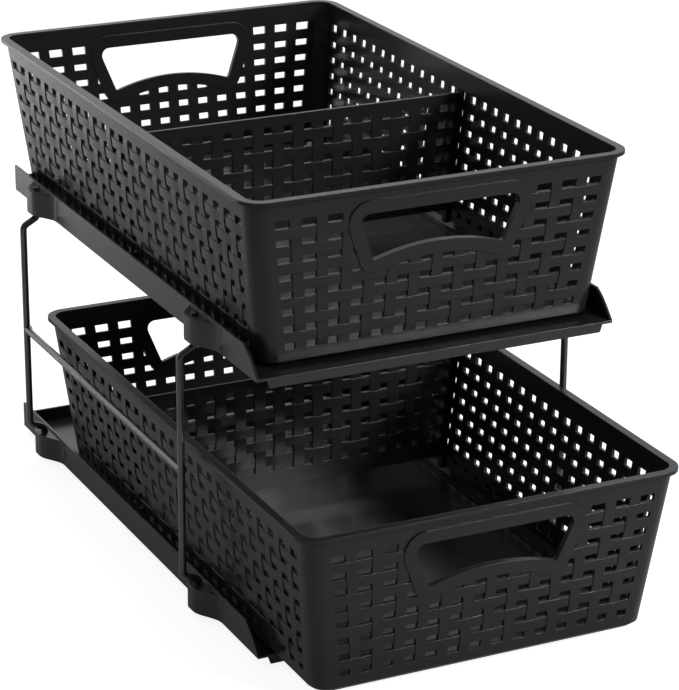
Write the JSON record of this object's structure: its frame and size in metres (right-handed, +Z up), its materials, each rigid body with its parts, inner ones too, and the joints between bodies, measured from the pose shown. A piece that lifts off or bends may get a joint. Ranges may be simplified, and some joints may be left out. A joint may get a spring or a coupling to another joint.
{
  "type": "pull-out cabinet basket",
  "caption": "Black tiered pull-out organiser: deep woven-look plastic baskets with dividers slide on flat trays stacked on bent wire posts, the lower basket pulled out.",
  "frame": {"origin": "on the ground, under the middle of the box round everything", "axes": "+X to the right seen from the front, +Y to the back, +Z up; the baskets pull out towards -Y"},
  "size_m": [0.2556, 0.4688, 0.2738],
  "materials": {
    "basket_plastic": "satin",
    "tray_plastic": "semi-gloss",
    "coated_wire": "gloss black coating",
    "foot_rubber": "matte"
  },
  "bodies": {
    "stand": {"upper_tray": "tray_plastic", "lower_tray": "tray_plastic", "left_front_post": "coated_wire", "left_back_post": "coated_wire", "right_front_post": "coated_wire", "right_back_post": "coated_wire", "left_rail": "coated_wire", "right_rail": "coated_wire", "feet": "foot_rubber"},
    "upper_basket_body": {"upper_basket": "basket_plastic"},
    "lower_basket_body": {"lower_basket": "basket_plastic"},
    "upper_divider_body": {"upper_divider": "basket_plastic"},
    "lower_divider_body": {"lower_divider": "basket_plastic"}
  },
  "joints": [
    {"name": "upper_basket_slide", "type": "slide", "parent": "stand", "child": "upper_basket_body", "axis": [0, -1, 0], "range_m": [0, 0.2]},
    {"name": "lower_basket_slide", "type": "slide", "parent": "stand", "child": "lower_basket_body", "axis": [0, -1, 0], "range_m": [-0.0708, 0.13]},
    {"name": "upper_divider_lift", "type": "slide", "parent": "upper_basket_body", "child": "upper_divider_body", "axis": [0, 0, 1], "range_m": [0, 0.12]},
    {"name": "lower_divider_lift", "type": "slide", "parent": "lower_basket_body", "child": "lower_divider_body", "axis": [0, 0, 1], "range_m": [0, 0.07]}
  ]
}
